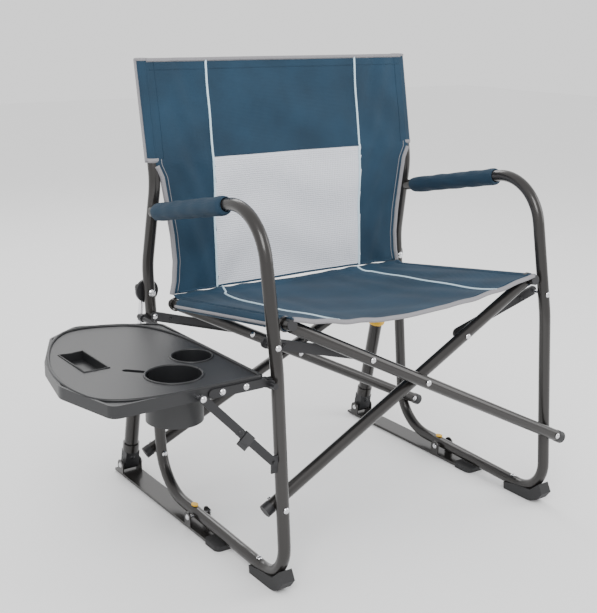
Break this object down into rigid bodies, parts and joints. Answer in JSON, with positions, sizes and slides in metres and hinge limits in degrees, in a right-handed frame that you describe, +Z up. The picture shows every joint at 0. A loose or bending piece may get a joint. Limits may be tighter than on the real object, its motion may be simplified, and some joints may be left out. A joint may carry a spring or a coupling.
{
  "type": "camp rocking chair with side table",
  "caption": "Folding camp chair that rocks on two floor feet with pistons, with blue slings, padded armrests and a fold-down side table.",
  "frame": {"origin": "on the floor at the centre of the chair's plan box, side table included", "axes": "+X to the viewer's right when facing the chair, +Y from the front to the back, +Z up"},
  "size_m": [0.962, 0.6382, 0.8544],
  "materials": {
    "frame_paint": "semi-gloss powder coat",
    "dark_rubber": "matte",
    "black_plastic": "matte",
    "yellow_plastic": "satin",
    "bolt_steel": "polished",
    "rod_chrome": "polished",
    "arm_fabric": "woven",
    "blue_fabric": "woven",
    "table_plastic": "fine texture",
    "strap_paint": "satin"
  },
  "bodies": {
    "left_foot": {"left_foot_bar": "frame_paint", "left_foot_pads": "dark_rubber", "left_foot_pins": "bolt_steel"},
    "left_frame": {"left_side_tube": "frame_paint", "left_front_shoe": "dark_rubber", "left_base_plug": "yellow_plastic", "left_upright_cap": "black_plastic", "left_arm_sleeve": "arm_fabric", "left_piston_mount": "strap_paint", "left_frame_bolts": "bolt_steel", "back_sling": "blue_fabric", "table_axle": "strap_paint", "table_clamps": "strap_paint"},
    "front_bar_left": {"front_bar_from_left": "frame_paint", "front_bar_from_left_cap": "black_plastic", "front_bar_from_left_bolts": "bolt_steel"},
    "front_bar_right": {"front_bar_from_right": "frame_paint", "front_bar_from_right_cap": "black_plastic", "front_bar_from_right_bolts": "bolt_steel"},
    "right_frame": {"right_side_tube": "frame_paint", "right_front_shoe": "dark_rubber", "right_base_plug": "yellow_plastic", "right_upright_cap": "black_plastic", "right_arm_sleeve": "arm_fabric", "right_piston_mount": "strap_paint", "right_frame_bolts": "bolt_steel"},
    "right_foot": {"right_foot_bar": "frame_paint", "right_foot_pads": "dark_rubber", "right_foot_pins": "bolt_steel"},
    "rear_bar_left": {"rear_bar_from_left": "frame_paint", "rear_bar_from_left_cap": "black_plastic", "rear_bar_from_left_bolts": "bolt_steel"},
    "rear_bar_right": {"rear_bar_from_right": "frame_paint", "rear_bar_from_right_cap": "black_plastic", "rear_bar_from_right_bolts": "bolt_steel"},
    "left_rail": {"left_seat_rail": "frame_paint", "left_rail_caps": "black_plastic", "seat_sling": "blue_fabric"},
    "right_rail": {"right_seat_rail": "frame_paint", "right_rail_caps": "black_plastic"},
    "front_left_link": {"front_left_link": "strap_paint"},
    "rear_left_link": {"rear_left_link": "strap_paint"},
    "front_right_link": {"front_right_link": "strap_paint"},
    "rear_right_link": {"rear_right_link": "strap_paint"},
    "left_cylinder": {"left_piston_cylinder": "frame_paint", "left_piston_bumper": "yellow_plastic", "left_piston_knuckle": "strap_paint"},
    "left_rod": {"left_piston_rod": "rod_chrome"},
    "right_cylinder": {"right_piston_cylinder": "frame_paint", "right_piston_bumper": "yellow_plastic", "right_piston_knuckle": "strap_paint"},
    "right_rod": {"right_piston_rod": "rod_chrome"},
    "table": {"table_top": "table_plastic", "table_straps": "strap_paint", "table_bolts": "bolt_steel"},
    "brace_upper": {"brace_upper_link": "strap_paint"},
    "brace_lower": {"brace_lower_link": "strap_paint"},
    "lock": {"brace_lock_slider": "black_plastic"}
  },
  "joints": [
    {"name": "rock", "type": "hinge", "parent": "left_foot", "child": "left_frame", "pos_m": [-0.16197, 0.00611, 0.023], "axis": [-1, 0, 0], "range_deg": [0, 10], "stiffness_Nm_per_rad": 25, "springref_deg": -14.32},
    {"name": "fold", "type": "hinge", "parent": "left_frame", "child": "front_bar_left", "pos_m": [-0.16197, -0.27981, 0.153], "axis": [0, -1, 0], "range_deg": [0, 48.5], "deforming": ["seat_sling", "back_sling"]},
    {"name": "front_crossing", "type": "hinge", "parent": "front_bar_left", "child": "front_bar_right", "pos_m": [0.14603, -0.25776, 0.31081], "axis": [0, -1, 0], "range_deg": [-97.01, 0]},
    {"name": "right_front_leg_pivot", "type": "hinge", "parent": "front_bar_right", "child": "right_frame", "pos_m": [0.45403, -0.27981, 0.153], "axis": [0, -1, 0], "range_deg": [0, 48.51]},
    {"name": "right_foot_pivot", "type": "hinge", "parent": "right_frame", "child": "right_foot", "pos_m": [0.45403, 0.00611, 0.023], "axis": [-1, 0, 0], "range_deg": [-10.01, 0]},
    {"name": "left_rear_leg_pivot", "type": "hinge", "parent": "left_frame", "child": "rear_bar_left", "pos_m": [-0.16197, 0.14737, 0.1], "axis": [0, -1, 0], "range_deg": [0, 48.51]},
    {"name": "rear_crossing", "type": "hinge", "parent": "rear_bar_left", "child": "rear_bar_right", "pos_m": [0.14603, 0.13851, 0.25781], "axis": [0, -1, 0], "range_deg": [-97.01, 0]},
    {"name": "left_rail_hinge", "type": "hinge", "parent": "front_bar_right", "child": "left_rail", "pos_m": [-0.13147, -0.23789, 0.453], "axis": [0, -1, 0], "range_deg": [0, 48.51]},
    {"name": "right_rail_hinge", "type": "hinge", "parent": "front_bar_left", "child": "right_rail", "pos_m": [0.42353, -0.23789, 0.453], "axis": [0, -1, 0], "range_deg": [-48.51, 0]},
    {"name": "front_left_link_pivot", "type": "hinge", "parent": "left_frame", "child": "front_left_link", "pos_m": [-0.16197, -0.22839, 0.424], "axis": [0, -1, 0], "range_deg": [0, 89.92]},
    {"name": "rear_left_link_pivot", "type": "hinge", "parent": "left_frame", "child": "rear_left_link", "pos_m": [-0.16197, 0.16111, 0.374], "axis": [0, -1, 0], "range_deg": [0, 90.51]},
    {"name": "front_right_link_pivot", "type": "hinge", "parent": "right_frame", "child": "front_right_link", "pos_m": [0.45403, -0.22439, 0.424], "axis": [0, -1, 0], "range_deg": [-89.92, 0]},
    {"name": "rear_right_link_pivot", "type": "hinge", "parent": "right_frame", "child": "rear_right_link", "pos_m": [0.45403, 0.16111, 0.374], "axis": [0, -1, 0], "range_deg": [-90.51, 0]},
    {"name": "left_piston_foot", "type": "hinge", "parent": "left_foot", "child": "left_cylinder", "pos_m": [-0.16197, 0.29311, 0.022], "axis": [-1, 0, 0], "range_deg": [0, 9.04]},
    {"name": "left_piston_stroke", "type": "slide", "parent": "left_cylinder", "child": "left_rod", "axis": [0, -0.2028, 0.9792], "range_m": [-0.04963, 0]},
    {"name": "right_piston_foot", "type": "hinge", "parent": "right_foot", "child": "right_cylinder", "pos_m": [0.45403, 0.29311, 0.022], "axis": [-1, 0, 0], "range_deg": [0, 9.04]},
    {"name": "right_piston_stroke", "type": "slide", "parent": "right_cylinder", "child": "right_rod", "axis": [0, -0.2028, 0.9792], "range_m": [-0.04963, 0]},
    {"name": "table_hinge", "type": "hinge", "parent": "left_frame", "child": "table", "pos_m": [-0.18097, -0.14689, 0.37], "axis": [0, -1, 0], "range_deg": [0, 88]},
    {"name": "brace_upper_pivot", "type": "hinge", "parent": "table", "child": "brace_upper", "pos_m": [-0.31197, -0.28689, 0.376], "axis": [0, -1, 0], "range_deg": [0, 48.72]},
    {"name": "brace_lower_pivot", "type": "hinge", "parent": "left_frame", "child": "brace_lower", "pos_m": [-0.18097, -0.28139, 0.24], "axis": [0, -1, 0], "range_deg": [-36.87, 0]},
    {"name": "lock_slide", "type": "slide", "parent": "brace_lower", "child": "lock", "axis": [0.6937, 0, -0.7202], "range_m": [0, 0.035]}
  ],
  "couplings": [
    {"joint": "front_crossing", "follows": "fold", "ratio": -2},
    {"joint": "right_front_leg_pivot", "follows": "fold", "ratio": 1},
    {"joint": "right_foot_pivot", "follows": "rock", "ratio": -1},
    {"joint": "left_rear_leg_pivot", "follows": "fold", "ratio": 1},
    {"joint": "rear_crossing", "follows": "fold", "ratio": -2},
    {"joint": "left_rail_hinge", "follows": "fold", "ratio": 1},
    {"joint": "right_rail_hinge", "follows": "fold", "ratio": -1},
    {"joint": "front_left_link_pivot", "follows": "fold", "ratio": 1.8538},
    {"joint": "rear_left_link_pivot", "follows": "fold", "ratio": 1.8659},
    {"joint": "front_right_link_pivot", "follows": "fold", "ratio": -1.8538},
    {"joint": "rear_right_link_pivot", "follows": "fold", "ratio": -1.8659},
    {"joint": "left_piston_foot", "follows": "rock", "ratio": 0.90295},
    {"joint": "left_piston_stroke", "follows": "rock", "m_per_rad": -0.28427},
    {"joint": "right_piston_foot", "follows": "rock", "ratio": 0.90295},
    {"joint": "right_piston_stroke", "follows": "rock", "m_per_rad": -0.28427},
    {"joint": "brace_upper_pivot", "follows": "table_hinge", "ratio": 0.55347},
    {"joint": "brace_lower_pivot", "follows": "table_hinge", "ratio": -0.41891}
  ]
}
